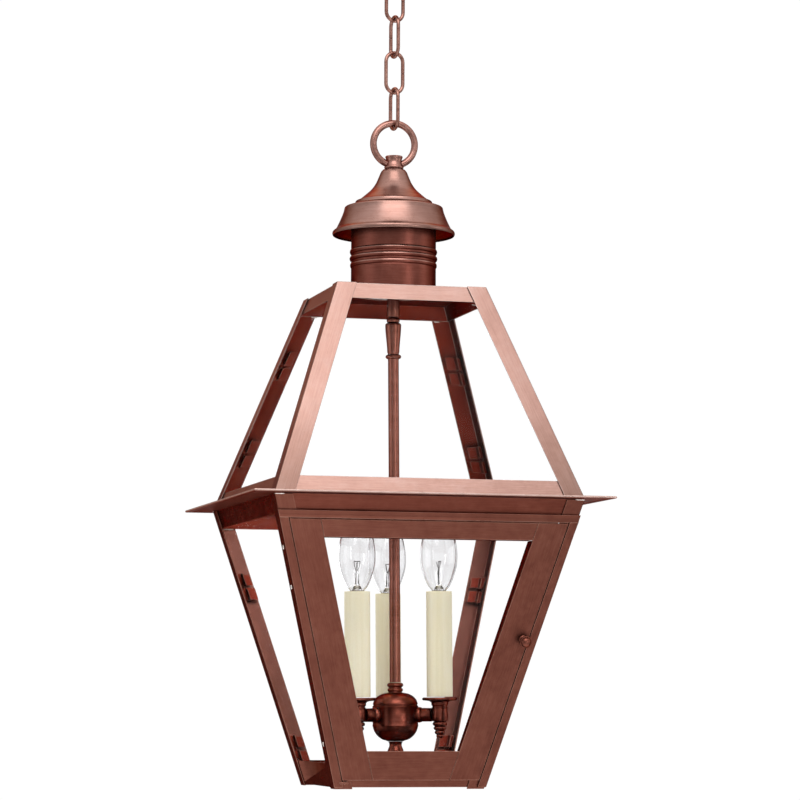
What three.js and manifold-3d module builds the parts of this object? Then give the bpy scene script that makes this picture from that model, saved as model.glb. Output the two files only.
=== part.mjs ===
// Hanging lantern: a four-sided copper lantern on a short chain, with a glazed roof,
// a vented chimney, a hinged front door and a cluster of three candles on a swivelling stem.
// Millimetres, +Z up. The origin is the centre of the canopy, on the ceiling plane.
import * as THREE from 'three';
import { mergeVertices } from 'three/addons/utils/BufferGeometryUtils.js';
import Module from 'manifold-3d';

const wasm = await Module();
wasm.setup();

// ---------------------------------------------------------------- driving dimensions
const GAP = 0.3; // between pieces that touch
const SHEET = 1.2; // copper sheet and angle thickness

const CANOPY = { radius: 64, height: 30, bore: 5.4 };
const STRAP = { length: 112, width: 16, thick: 1.6, slotAt: 40, slotLength: 12, slotWidth: 5 };
const LOOP = { mid: 11.5, wire: 2.25, thread: 4.8, drop: 51 }; // loop under the canopy
const LINK = { length: 41.9, width: 20.8, wire: 1.75, count: 5, turn: 9.6 };
const RING = { mid: 19.75, wire: 3.25, aboveEave: 340.9 }; // ring on top of the lantern

// Half widths of the square frame at given heights over the eave plane.
const BODY = { topZ: -2, topHalf: 142.8, bottomZ: -260.8, bottomHalf: 70.3 };
const ROOF = { bottomZ: 3, bottomHalf: 141.7, topZ: 197.7, topHalf: 70.9 };
const EAVE = { half: 165.8, opening: 131, hem: 2.2 };
const POST = { flange: 16.5, tipBelow: 1.6 };
const HIP = { flange: 18.4 };
const RAIL_INSET = SHEET + GAP + 0.1; // rails lie just inside the posts and hips
const SILL_HEIGHT = 15; // rail round the foot of the roof
const TOP_RAIL = 14.8; // rail round the roof's top plate
const BAND_BOTTOM = -18.6; // lower edge of the band under the eave
const BOTTOM_RAIL = 21.6; // height of the side and back rails at the foot
const FRONT_SILL = 6.4; // height of the rail under the door
const GLASS = { thick: 2.2, inset: 3.3, corner: 7.6 };

const DOOR = {
  top: -23.6, bottom: -254.3, back: 0.5, front: 2.7, // back and front: how far they stand proud
  edge: 8.2, opening: 36.3, openTop: -38.9, openBottom: -228.2, lipTop: 13.5, lipBottom: 6,
  glassEdge: 22.3, pinInset: 9.2, pinRadius: 0.8,
};
const JAMB = {
  top: -15.9, headFoot: -22.6, width: 7.4, over: 0.6, proud: 2.6,
  stopBack: -1.3, stopFront: -0.1, stopFoot: -27, // the stop behind the top of the door
};
const LUG = { height: 2, gap: 1.4, from: 5, to: 13, proud: 3.3, bore: 1.15 };
const KNOB = { z: -126.9, inset: 13, spindle: 1.5, base: 4.6, neck: 2.5, radius: 5.7, out: 15.3 };

const CHIMNEY = { radius: 40, top: 262 };
const STEM_RADIUS = 5.05;
const SWIVEL = { z: 172.5, lean: 0.62 }; // the stem hangs this many degrees out of plumb
const CANDLE = { radius: 44.2, angles: [84, 204, 324], sleeve: 12, foot: -179.5, top: -82.3, cup: 7.5 };
const ARM = { z: -196, radius: 6.3 };

// Height of the eave plane, from the chain's pitch and the ring on the lantern.
const linkCentreLine = LINK.length / 2 - LINK.wire;
const linkPitch = 2 * linkCentreLine - 2 * LINK.wire - GAP;
const loopFoot = -LOOP.drop - LOOP.mid;
const firstLinkZ = loopFoot + LOOP.wire + LINK.wire + GAP - linkCentreLine;
const lastLinkZ = firstLinkZ - (LINK.count - 1) * linkPitch;
const ringZ = lastLinkZ - linkCentreLine + RING.wire + LINK.wire + GAP - RING.mid;
const EAVE_Z = ringZ - RING.aboveEave;

// ---------------------------------------------------------------- materials
const finish = (color, roughness, metalness) =>
  new THREE.MeshStandardMaterial({ color, roughness, metalness });
const copper = () => finish(0x8a5344, 0.42, 1);
const lightCopper = () => finish(0xb98371, 0.38, 1);
const clearGlass = () =>
  new THREE.MeshStandardMaterial({
    color: 0xf4f8f6, roughness: 0.05, metalness: 0, transparent: true, opacity: 0.3,
  });
const wax = () => finish(0xe6dfba, 0.55, 0);
const socketPlastic = () => finish(0xd8d4c8, 0.6, 0);

// ---------------------------------------------------------------- geometry helpers
const rad = THREE.MathUtils.degToRad;

function toSolid(geometry) {
  const bare = geometry.clone();
  bare.deleteAttribute('normal');
  bare.deleteAttribute('uv');
  const merged = mergeVertices(bare, 1e-4);
  return new wasm.Manifold(new wasm.Mesh({
    numProp: 3,
    vertProperties: new Float32Array(merged.attributes.position.array),
    triVerts: new Uint32Array(merged.index.array),
  }));
}

function fromSolid(solid) {
  const { vertProperties, triVerts } = solid.getMesh();
  const geometry = new THREE.BufferGeometry();
  geometry.setAttribute('position', new THREE.BufferAttribute(vertProperties, 3));
  geometry.setIndex(new THREE.BufferAttribute(triVerts, 1));
  return geometry;
}

const join = (...parts) =>
  fromSolid(parts.map(toSolid).reduce((whole, part) => whole.add(part)));
const cut = (body, ...tools) =>
  fromSolid(tools.map(toSolid).reduce((whole, tool) => whole.subtract(tool), toSolid(body)));

// A turned piece about Z from [radius, z] points: a closed outline, or one that starts
// and ends on the axis.
function turned(points, segments = 24) {
  const outline = points.map(([r, z]) => new THREE.Vector2(r, z));
  if (THREE.ShapeUtils.area(outline) < 0) outline.reverse();
  const onAxis = points[0][0] === 0 && points.at(-1)[0] === 0;
  if (!onAxis) outline.push(outline[0].clone());
  return new THREE.LatheGeometry(outline, segments).rotateX(Math.PI / 2);
}

// A round bead on an outline: points of a half circle that bulges away from the axis.
function bead(r, z, size, steps = 4) {
  const points = [];
  for (let i = 0; i <= steps; i += 1) {
    const turn = -Math.PI / 2 + (Math.PI * i) / steps;
    points.push([r + size * Math.cos(turn), z + size * Math.sin(turn)]);
  }
  return points;
}

const box = (x0, x1, y0, y1, z0, z1) =>
  new THREE.BoxGeometry(x1 - x0, y1 - y0, z1 - z0)
    .translate((x0 + x1) / 2, (y0 + y1) / 2, (z0 + z1) / 2);

const rod = (r, z0, z1, segments = 16) =>
  new THREE.CylinderGeometry(r, r, z1 - z0, segments)
    .rotateX(Math.PI / 2)
    .translate(0, 0, (z0 + z1) / 2);

const bodyHalf = (z) =>
  THREE.MathUtils.mapLinear(z, BODY.topZ, BODY.bottomZ, BODY.topHalf, BODY.bottomHalf);
const roofHalf = (z) =>
  THREE.MathUtils.mapLinear(z, ROOF.bottomZ, ROOF.topZ, ROOF.bottomHalf, ROOF.topHalf);

// Frame pieces are outlined in plan on a square of this half width, extruded upwards,
// and then leaned so that the square follows the sloping sides.
const PLAN = 100;

function leaned(outline, z0, z1, half, hole) {
  const shape = new THREE.Shape(outline.map(([x, y]) => new THREE.Vector2(x, y)));
  if (hole) shape.holes.push(new THREE.Path(hole.map(([x, y]) => new THREE.Vector2(x, y))));
  const geometry = new THREE.ExtrudeGeometry(shape, { depth: z1 - z0, bevelEnabled: false });
  geometry.translate(0, 0, z0);
  const position = geometry.attributes.position;
  for (let i = 0; i < position.count; i += 1) {
    const shift = half(position.getZ(i)) - PLAN;
    position.setX(i, position.getX(i) + Math.sign(position.getX(i)) * shift);
    position.setY(i, position.getY(i) + Math.sign(position.getY(i)) * shift);
  }
  return geometry;
}

const square = (half) => [[-half, -half], [half, -half], [half, half], [-half, half]];

// A four-sided band of sheet, its outer face a given distance inside the sloping sides.
const band = (z0, z1, half, inset) =>
  leaned(square(PLAN - inset), z0, z1, half, square(PLAN - inset - SHEET));

// An angle bar up one corner.
function angleBar(sx, sy, flange, z0, z1, half) {
  const outer = PLAN;
  const inner = PLAN - SHEET;
  const end = PLAN - flange;
  const outline = [
    [outer, outer], [end, outer], [end, inner], [inner, inner], [inner, end], [outer, end],
  ].map(([x, y]) => [sx * x, sy * y]);
  return leaned(outline, z0, z1, half);
}

// A flat strip on the front side: insets from the corners, and how far its faces stand proud.
const frontStrip = (x0, x1, back, front, z0, z1) =>
  leaned(
    [[x0, -PLAN - front], [x1, -PLAN - front], [x1, -PLAN - back], [x0, -PLAN - back]],
    z0, z1, bodyHalf,
  );

// A pane of glass just inside the bars, on the side at a given quarter turn.
const pane = (z0, z1, half) => {
  const end = PLAN - GLASS.corner;
  const face = -PLAN + GLASS.inset;
  const outline = [[-end, face], [end, face], [end, face + GLASS.thick], [-end, face + GLASS.thick]];
  return leaned(outline, z0, z1, half);
};

const ringOf = (mid, wire, around = 28, section = 10) =>
  new THREE.TorusGeometry(mid, wire, section, around).rotateX(Math.PI / 2);

// ---------------------------------------------------------------- assembly
const object = new THREE.Group();
const lantern = new THREE.Group();
lantern.position.z = EAVE_Z;
object.add(lantern);

function add(parent, name, geometry, material) {
  const mesh = new THREE.Mesh(geometry, material);
  mesh.name = name;
  parent.add(mesh);
  return mesh;
}

// ---------------------------------------------------------------- ceiling canopy
function canopyShell() {
  const { radius, height, bore } = CANOPY;
  const outside = [[radius, 0], [radius, -3], [radius - 3, -4.5], [radius - 8, -7]];
  const crown = [[44, -13], [30, -21.5], [16, -27.5], [11, -height], [bore, -height]];
  const inside = [[bore, -height + 1.5], [15, -26], [29.4, -20.1], [43.5, -11.6]];
  const lip = [[radius - 9, -5.4], [radius - 1.5, -2.4], [radius - 1.5, 0]];
  return turned([...outside, ...crown, ...inside, ...lip], 24);
}

function mountingStrap() {
  const { length, width, thick, slotAt, slotLength, slotWidth } = STRAP;
  const bar = box(-length / 2, length / 2, -width / 2, width / 2, -thick, 0);
  const slot = (side) =>
    box(side * slotAt - slotLength / 2, side * slotAt + slotLength / 2,
      -slotWidth / 2, slotWidth / 2, -3, 1);
  return cut(bar, rod(LOOP.thread + GAP, -3, 1), slot(-1), slot(1));
}

function canopyLoop() {
  const ring = ringOf(LOOP.mid, LOOP.wire, 24, 8).translate(0, 0, -LOOP.drop);
  const neckFoot = -LOOP.drop + LOOP.mid - 0.6;
  return join(ring, rod(LOOP.thread, neckFoot, -0.4));
}

add(object, 'canopy', canopyShell(), copper());
add(object, 'mounting_strap', mountingStrap(), finish(0x9a9a98, 0.45, 1));
const topLoop = add(object, 'canopy_loop', canopyLoop(), copper());
topLoop.rotation.z = rad(LINK.turn);
add(object, 'canopy_collar', turned([
  [LOOP.thread + GAP, -CANOPY.height - GAP], [10, -CANOPY.height - GAP],
  [10.6, -CANOPY.height - 2.4], [9, -CANOPY.height - 6], [LOOP.thread + GAP, -CANOPY.height - 6.4],
], 20), copper());

// ---------------------------------------------------------------- chain
// A link is a ring of wire, pulled apart into two half rings with straight sides.
function chainLink() {
  const bend = LINK.width / 2 - LINK.wire;
  const around = 18;
  const geometry = new THREE.TorusGeometry(bend, LINK.wire, 8, around);
  geometry.rotateZ(Math.PI / around);
  const position = geometry.attributes.position;
  for (let i = 0; i < position.count; i += 1) {
    const side = Math.sign(position.getY(i));
    position.setY(i, position.getY(i) + side * (linkCentreLine - bend));
  }
  return geometry.rotateX(Math.PI / 2);
}

for (let i = 0; i < LINK.count; i += 1) {
  const link = add(object, `chain_link_${i + 1}`, chainLink(), copper());
  link.position.z = firstLinkZ - i * linkPitch;
  link.rotation.z = rad(LINK.turn + (i % 2 === 0 ? 90 : 0));
}

// ---------------------------------------------------------------- ring, cap and chimney
function hangingLoop() {
  const ring = ringOf(RING.mid, RING.wire, 32, 10).translate(0, 0, RING.aboveEave);
  const spool = turned([
    [0, 250], [4, 250], [4, 316.9], [8.2, 316.9], [8.7, 318.6], [7.4, 321.2], [7.2, 324.6],
    [8.5, 327.4], [8.2, 329.6], [0, 329.6],
  ], 20);
  const nut = turned([[0, 252], [7.5, 252], [7.5, 257.6], [0, 257.6]], 6);
  return join(ring, spool, nut);
}

function ventCap() {
  const outside = [
    [57.8, 253.4], [57.9, 254.6], [57, 256.6], [57.2, 258], [53.6, 261.9], [50.4, 268.5],
    [48.4, 275.6], [46, 279], [39.6, 280.8], [36, 284.2], [30, 289.7], [23.5, 295.8],
    [15.9, 305.6], [12.7, 314.4], [8.7, 316.6], [4.4, 316.6],
  ];
  const inside = [
    [4.4, 315.2], [8, 315.2], [11.4, 313.4], [14.7, 305], [22.5, 294.9], [29.1, 288.7],
    [35.2, 283.1], [38.9, 279.7], [45.2, 277.9], [47.2, 275], [49.2, 268], [52.5, 261.2],
    [56.2, 256.8], [56.7, 253.4],
  ];
  return turned([...outside, ...inside], 24);
}

function chimney() {
  const { radius, top } = CHIMNEY;
  const wall = 1;
  const outside = [
    [radius, 198.1], ...bead(radius, 224.6, 1), ...bead(radius, 230.8, 1.4),
    ...bead(radius, 237.4, 1.3), [radius, top],
  ];
  const tube = turned([...outside, [radius - wall, top], [radius - wall, 198.1]], 24);
  const bridge = box(-radius + 0.5, radius - 0.5, -6, 6, top - 4, top - 2);
  return join(tube, cut(bridge, rod(4.4, top - 6, top + 2)));
}

add(lantern, 'hanging_loop', hangingLoop(), copper());
add(lantern, 'vent_cap', ventCap(), lightCopper());
add(lantern, 'chimney', chimney(), copper());

// ---------------------------------------------------------------- roof
function roofTop() {
  const plateTop = ROOF.topZ;
  const rails = band(plateTop - TOP_RAIL, plateTop, roofHalf, RAIL_INSET);
  const half = ROOF.topHalf - RAIL_INSET;
  const plate = box(-half, half, -half, half, plateTop - SHEET, plateTop);
  const flue = rod(CHIMNEY.radius - 2, plateTop - 4, plateTop + 4, 32);
  const bridge = box(-half + 1, half - 1, -8, 8, plateTop - SHEET, plateTop);
  const bridged = join(cut(plate, flue), bridge, rails);
  return cut(bridged, rod(4.4, plateTop - 4, plateTop + 4));
}

add(lantern, 'roof_top', roofTop(), lightCopper());

const corners = [
  ['front_left', -1, -1], ['front_right', 1, -1], ['back_right', 1, 1], ['back_left', -1, 1],
];
for (const [place, sx, sy] of corners) {
  const hip = angleBar(sx, sy, HIP.flange, 0.4, ROOF.topZ + 0.4, roofHalf);
  add(lantern, `roof_hip_${place}`, hip, lightCopper());
}

add(lantern, 'roof_sill', band(GAP, SILL_HEIGHT, roofHalf, RAIL_INSET), lightCopper());

const sides = ['front', 'right', 'back', 'left'];
sides.forEach((side, quarter) => {
  const glass = add(lantern, `roof_glass_${side}`, pane(2, 188, roofHalf), clearGlass());
  glass.rotation.z = (quarter * Math.PI) / 2;
});

function eaveFlange() {
  const { half, opening, hem } = EAVE;
  const plate = new THREE.Shape(square(half - 1).map(([x, y]) => new THREE.Vector2(x, y)));
  plate.holes.push(new THREE.Path(square(opening).map(([x, y]) => new THREE.Vector2(x, y))));
  const sheet = new THREE.ExtrudeGeometry(plate, { depth: SHEET, bevelEnabled: false });
  const edge = new THREE.Shape(square(half).map(([x, y]) => new THREE.Vector2(x, y)));
  edge.holes.push(new THREE.Path(square(half - 5).map(([x, y]) => new THREE.Vector2(x, y))));
  const fold = new THREE.ExtrudeGeometry(edge, { depth: hem, bevelEnabled: false });
  sheet.translate(0, 0, -SHEET);
  fold.translate(0, 0, -SHEET - (hem - SHEET) / 2);
  return join(sheet, fold);
}

add(lantern, 'eave_flange', eaveFlange(), lightCopper());

// ---------------------------------------------------------------- body
const postTop = -SHEET - GAP - 0.6;
const postFoot = BODY.bottomZ - POST.tipBelow;

// The hinge pin's place in plan, on the left edge of the door.
const pinPlan = [-(PLAN - DOOR.pinInset), -(PLAN + (DOOR.back + DOOR.front) / 2)];

function pinPiece(radius, z0, z1) {
  const outline = [];
  for (let i = 0; i < 12; i += 1) {
    const turn = (i * Math.PI) / 6;
    outline.push([pinPlan[0] + radius * Math.cos(turn), pinPlan[1] + radius * Math.sin(turn)]);
  }
  return leaned(outline, z0, z1, bodyHalf);
}

// The frame round the door: a head with a stop behind it, and two strips on the posts with
// the hinge's two bores.
const lowerLug = DOOR.bottom - LUG.gap - LUG.height;
const jambOuter = PLAN + JAMB.over;
const jambInner = PLAN - JAMB.width;
const stopEnd = PLAN - POST.flange - 0.5;

function hingeLug(z0, z1) {
  return frontStrip(-PLAN + LUG.from, -PLAN + LUG.to, GAP, LUG.proud, z0, z1);
}

function doorJamb() {
  const jamb = join(
    frontStrip(-jambOuter, -jambInner, GAP, JAMB.proud, BODY.bottomZ, JAMB.top),
    frontStrip(jambInner, jambOuter, GAP, JAMB.proud, BODY.bottomZ, JAMB.top),
    frontStrip(-jambOuter, jambOuter, GAP, JAMB.proud, JAMB.headFoot, JAMB.top),
    frontStrip(-stopEnd, stopEnd, JAMB.stopBack, GAP + 0.1, JAMB.headFoot, JAMB.top),
    frontStrip(-stopEnd, stopEnd, JAMB.stopBack, JAMB.stopFront, JAMB.stopFoot, JAMB.headFoot + 0.1),
    hingeLug(JAMB.headFoot, JAMB.top),
    hingeLug(lowerLug, lowerLug + LUG.height),
  );
  return cut(jamb, pinPiece(LUG.bore, JAMB.headFoot - 1, JAMB.top - 1.5),
    pinPiece(LUG.bore, lowerLug - 1, lowerLug + LUG.height + 1));
}

add(lantern, 'door_jamb', doorJamb(), copper());

for (const [place, sx, sy] of corners) {
  let post = angleBar(sx, sy, POST.flange, postFoot, postTop, bodyHalf);
  if (place === 'front_right') {
    const edge = bodyHalf(KNOB.z);
    const notch = box(edge - POST.flange - 2, edge - KNOB.inset + 3.4, -edge - 4, -edge + 4,
      KNOB.z - 3.6, KNOB.z + 3.6);
    post = cut(post, notch);
  }
  add(lantern, `corner_post_${place}`, post, copper());
}

add(lantern, 'eave_band', band(BAND_BOTTOM, -SHEET - GAP - 0.6, bodyHalf, RAIL_INSET), copper());

function bottomFrame() {
  const rails = band(BODY.bottomZ, BODY.bottomZ + BOTTOM_RAIL, bodyHalf, RAIL_INSET);
  const reach = bodyHalf(BODY.bottomZ + BOTTOM_RAIL);
  const inner = bodyHalf(BODY.bottomZ + FRONT_SILL) - RAIL_INSET - SHEET - 2;
  const front = box(-inner, inner, -reach - 5, -BODY.bottomHalf + 20,
    BODY.bottomZ + FRONT_SILL, BODY.bottomZ + BOTTOM_RAIL + 2);
  return cut(rails, front);
}

add(lantern, 'bottom_frame', bottomFrame(), copper());

const floorHalf = bodyHalf(BODY.bottomZ) - RAIL_INSET - SHEET - GAP;
add(lantern, 'bottom_plate',
  box(-floorHalf, floorHalf, -floorHalf, floorHalf, BODY.bottomZ + 0.4, BODY.bottomZ + 1.6),
  copper());

sides.forEach((side, quarter) => {
  if (side === 'front') return;
  const glass = pane(BODY.bottomZ + 2.4, -3, bodyHalf);
  add(lantern, `side_glass_${side}`, glass, clearGlass()).rotation.z = (quarter * Math.PI) / 2;
});

// ---------------------------------------------------------------- door
const stileOuter = PLAN - DOOR.edge;
const stileInner = PLAN - DOOR.opening;
const railEnd = stileInner - GAP;

// Each stile and rail is folded back along the opening, and the glass lies on the folds.
// They are deeper at the top, so the glass stands a little steeper than the door.
const lipFront = DOOR.back + 0.1;
const lipDepth = (z) =>
  THREE.MathUtils.mapLinear(z, DOOR.openTop, DOOR.openBottom, DOOR.lipTop, DOOR.lipBottom);

// A strip whose faces behind the front plane are set back by the depth of the folds.
function foldStrip(x0, x1, back, front, z0, z1) {
  const strip = frontStrip(x0, x1, back, front, z0, z1);
  const position = strip.attributes.position;
  for (let i = 0; i < position.count; i += 1) {
    const z = position.getZ(i);
    const behind = position.getY(i) + bodyHalf(z);
    if (behind > 0) position.setY(i, position.getY(i) + lipDepth(z));
  }
  return strip;
}

const foldBack = -0.1;
const lip = (x0, x1, z0, z1) => foldStrip(x0, x1, foldBack, lipFront, z0, z1);

function leftStile() {
  const strip = frontStrip(-stileOuter, -stileInner, DOOR.back, DOOR.front, DOOR.bottom, DOOR.top);
  const fold = lip(-stileInner - SHEET, -stileInner, DOOR.openBottom, DOOR.openTop);
  const upperPin = pinPiece(DOOR.pinRadius, DOOR.top - 4, JAMB.headFoot + 3);
  const lowerPin = pinPiece(DOOR.pinRadius, lowerLug - 0.6, DOOR.bottom + 4);
  return join(strip, fold, upperPin, lowerPin);
}

function doorRail(z0, z1, lipFoot) {
  return join(
    frontStrip(-railEnd, railEnd, DOOR.back, DOOR.front, z0, z1),
    lip(-railEnd, railEnd, lipFoot, lipFoot + SHEET),
  );
}

const knobY = -bodyHalf(KNOB.z);
const knobX = bodyHalf(KNOB.z) - KNOB.inset;
const outward = new THREE.Vector3(
  0, -1, -(BODY.topHalf - BODY.bottomHalf) / (BODY.topZ - BODY.bottomZ),
).normalize();

// Places a piece that is modelled along Z on the latch's axis, square to the door.
function onLatch(geometry) {
  const turn = new THREE.Quaternion().setFromUnitVectors(new THREE.Vector3(0, 0, 1), outward);
  return geometry.applyQuaternion(turn).translate(knobX, knobY, KNOB.z);
}

function rightStile() {
  const strip = frontStrip(stileInner, stileOuter, DOOR.back, DOOR.front, DOOR.bottom, DOOR.top);
  const fold = lip(stileInner, stileInner + SHEET, DOOR.openBottom, DOOR.openTop);
  return cut(join(strip, fold), onLatch(rod(KNOB.spindle + GAP, -2, 6)));
}

add(lantern, 'door_stile_left', leftStile(), copper());
add(lantern, 'door_stile_right', rightStile(), copper());
add(lantern, 'door_rail_top', doorRail(DOOR.openTop, DOOR.top, DOOR.openTop), copper());
add(lantern, 'door_rail_bottom',
  doorRail(DOOR.bottom, DOOR.openBottom, DOOR.openBottom - SHEET), copper());
const doorGlassEdge = PLAN - DOOR.glassEdge;
add(lantern, 'door_glass',
  foldStrip(-doorGlassEdge, doorGlassEdge, foldBack - GAP - GLASS.thick, foldBack - GAP,
    DOOR.bottom + 8, DOOR.top - 4), clearGlass());

const camBack = -4;
const camFront = -1.8;
// A button on a neck, turned in one piece with its spindle.
function latchKnob() {
  const face = DOOR.front;
  const { spindle, base, neck, radius, out } = KNOB;
  return onLatch(turned([
    [0, camBack - 1.4], [2.7, camBack - 1.4], [2.7, camBack - GAP], [spindle, camBack - GAP],
    [spindle, face + GAP], [base, face + GAP], [base, face + 1.4], [3.2, face + 2.4],
    [neck, face + 4], [neck + 0.2, face + 5.6], [radius - 0.6, face + 6.4], [radius, face + 7.6],
    [radius, face + 8.6], [radius - 0.7, face + 9.8], [radius - 1, face + 10.2],
    [3.2, out - 0.9], [0, out],
  ], 18));
}

add(lantern, 'latch_knob', latchKnob(), copper());

function latchCam() {
  const eye = rod(2.9, camBack, camFront, 12);
  const tongue = box(-8.2, 0, -2.2, 2.2, camBack, camFront);
  return onLatch(cut(join(eye, tongue), rod(KNOB.spindle + GAP, camBack - 1, camFront + 1, 12)));
}

add(lantern, 'latch_cam', latchCam(), copper());

// ---------------------------------------------------------------- stem and swivel
add(lantern, 'stem_nipple', turned([
  [0, 175.6], [5.4, 175.6], [5.85, 176.4], [5.85, 196], [4, 196], [4, 198.1], [7.5, 198.1],
  [7.5, 201.6], [4, 201.6], [4, 204], [0, 204],
], 20), copper());

add(lantern, 'swivel_collar', turned([
  [0, 170.4], [4.2, 170.4], [6.1, 171.4], [6.1, 174.2], [5, 175.2], [0, 175.2],
], 20), copper());

// The stem and the candles hang from the swivel.
const swivel = new THREE.Group();
swivel.position.z = SWIVEL.z;
swivel.rotation.y = -rad(SWIVEL.lean);
lantern.add(swivel);
const hung = new THREE.Group();
hung.position.z = -SWIVEL.z;
swivel.add(hung);

add(hung, 'stem_tube', turned([
  [0, -166], [STEM_RADIUS, -166], [STEM_RADIUS, 136], ...bead(5.6, 138.2, 1.8),
  [5.7, 143], [6.6, 155], [7.5, 166.5], [7.5, 169], [6.4, 170], [0, 170],
], 20), copper());

// ---------------------------------------------------------------- candle cluster
function clusterBody() {
  const body = turned([
    [0, -220.3], [8.2, -220.3], [12.9, -218.8], [17.2, -215.2], [20, -211], [21.2, -207],
    [21.2, -188.4], [20.4, -187.2], [20.9, -186], [18.9, -181.4], [14.2, -177.4], [8.2, -175.6],
    ...bead(5.7, -172.8, 1.7), ...bead(5.9, -168.4, 1.7), [0, -166.4],
  ], 18);
  const arms = CANDLE.angles.flatMap((angle) => {
    const reach = CANDLE.radius - CANDLE.cup - GAP;
    const tube = rod(ARM.radius, 15, reach, 12);
    const nut = turned([[0, 21], [5.8, 21], [7, 22.6], [7, 25], [5.8, 26.6], [0, 26.6]], 12);
    return [tube, nut].map((piece) =>
      piece.rotateY(Math.PI / 2).translate(0, 0, ARM.z).rotateZ(rad(angle)));
  });
  return join(body, ...arms);
}

add(hung, 'cluster_body', clusterBody(), copper());
add(hung, 'cluster_finial', turned([
  [0, -220.6], [7, -220.6], [5.9, -222.6], [5.9, -225], [7.3, -228], [7.3, -230], [5, -232.4],
  [5.4, -235], [3.6, -238.6], [0, -240],
], 20), copper());

const cupOutline = [
  [0, -180.1], [15.4, -180.1], [16.3, -181.2], [15.4, -182.5], [9.4, -183.2], [7.9, -184.6],
  [7.9, -187.6], [6.8, -188.8], [CANDLE.cup, -190], [CANDLE.cup, -201.2], [5, -202.6],
  [6.4, -204.8], [4.4, -207], [5.2, -209], [3.4, -211], [4, -213], [2.4, -215], [0, -217.6],
];
const socketOutline = [
  [0, -179.6], [5, -179.6], [5, -116.7], [8, -114.7], [8, -86.7], [6.7, -86.7], [6.7, -110.7],
  [0, -110.7],
];
const bulbOutline = [
  [0, -109.7], [3, -109.7], [6, -105.7], [6, -84], [6.8, -81], [9.6, -78], [12.4, -72.4],
  [15.1, -65], [16.9, -57.8], [17.4, -50.4], [17, -41.4], [15.3, -32.6], [12.4, -24.4],
  [8.8, -17], [5.2, -11.8], [2.4, -9.2], [0, -8.4],
];

CANDLE.angles.forEach((angle, index) => {
  const place = [CANDLE.radius * Math.cos(rad(angle)), CANDLE.radius * Math.sin(rad(angle)), 0];
  const { sleeve, foot, top } = CANDLE;
  const pieces = [
    ['candle_cup', turned(cupOutline, 16), copper()],
    ['candle_socket', turned(socketOutline, 14), socketPlastic()],
    ['candle_sleeve',
      turned([[sleeve, foot], [sleeve, top], [sleeve - 1, top], [sleeve - 1, foot]], 20), wax()],
    ['bulb', turned(bulbOutline, 16), clearGlass()],
  ];
  for (const [name, geometry, material] of pieces) {
    add(hung, `${name}_${index + 1}`, geometry, material).position.set(...place);
  }
});

export default object;
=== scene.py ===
"""Looks of the hanging lantern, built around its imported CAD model.

Shapes are in millimetres over the eave plane, as in the CAD source, and are written to the meshes
in metres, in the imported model's frame. Every piece has a "grain" attribute, along which the
brushing of its copper runs.
"""

from math import atan2, copysign, cos, hypot, pi, radians, sin, sqrt
import random

import bmesh
import bpy
from mathutils import Matrix, Vector


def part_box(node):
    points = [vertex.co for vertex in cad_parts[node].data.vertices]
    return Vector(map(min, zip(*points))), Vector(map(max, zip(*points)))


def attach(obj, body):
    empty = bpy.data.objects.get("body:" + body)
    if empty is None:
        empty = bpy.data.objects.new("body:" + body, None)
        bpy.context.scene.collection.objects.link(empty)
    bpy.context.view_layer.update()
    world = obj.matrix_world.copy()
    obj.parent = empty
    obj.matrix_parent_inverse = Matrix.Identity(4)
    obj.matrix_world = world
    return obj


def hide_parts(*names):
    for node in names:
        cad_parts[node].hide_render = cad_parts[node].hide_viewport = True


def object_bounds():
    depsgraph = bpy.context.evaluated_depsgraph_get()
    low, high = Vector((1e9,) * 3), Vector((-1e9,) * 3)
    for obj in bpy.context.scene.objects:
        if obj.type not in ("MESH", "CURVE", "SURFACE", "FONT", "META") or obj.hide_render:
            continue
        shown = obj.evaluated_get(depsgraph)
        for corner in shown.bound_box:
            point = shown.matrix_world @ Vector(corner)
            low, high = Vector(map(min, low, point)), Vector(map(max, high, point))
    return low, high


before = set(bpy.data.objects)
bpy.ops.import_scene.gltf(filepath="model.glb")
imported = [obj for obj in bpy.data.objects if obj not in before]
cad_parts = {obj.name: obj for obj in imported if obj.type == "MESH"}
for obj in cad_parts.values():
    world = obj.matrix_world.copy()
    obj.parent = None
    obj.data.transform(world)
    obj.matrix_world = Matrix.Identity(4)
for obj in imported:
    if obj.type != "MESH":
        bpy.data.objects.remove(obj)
CAD_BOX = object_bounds()

MM = 0.001

# ---- places from the frame
EAVE_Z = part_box("roof_sill")[0].z - 0.3 * MM  # the eave plane, in metres
SHEET = 1.2
POST_FLANGE = 16.5
HIP_FLANGE = 18.4


def local(node):
    """A CAD node's box in millimetres, its heights over the eave plane."""
    low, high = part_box(node)
    lift = Vector((0, 0, EAVE_Z))
    return (low - lift) / MM, (high - lift) / MM


body_low, body_high = local("corner_post_back_right")
roof_low, roof_high = local("roof_hip_back_right")


def body_half(z):
    foot = body_low.x + POST_FLANGE
    return foot + (body_high.x - foot) * (z - body_low.z) / (body_high.z - body_low.z)


def roof_half(z):
    top = roof_low.x + HIP_FLANGE
    return roof_high.x + (top - roof_high.x) * (z - roof_low.z) / (roof_high.z - roof_low.z)


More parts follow.
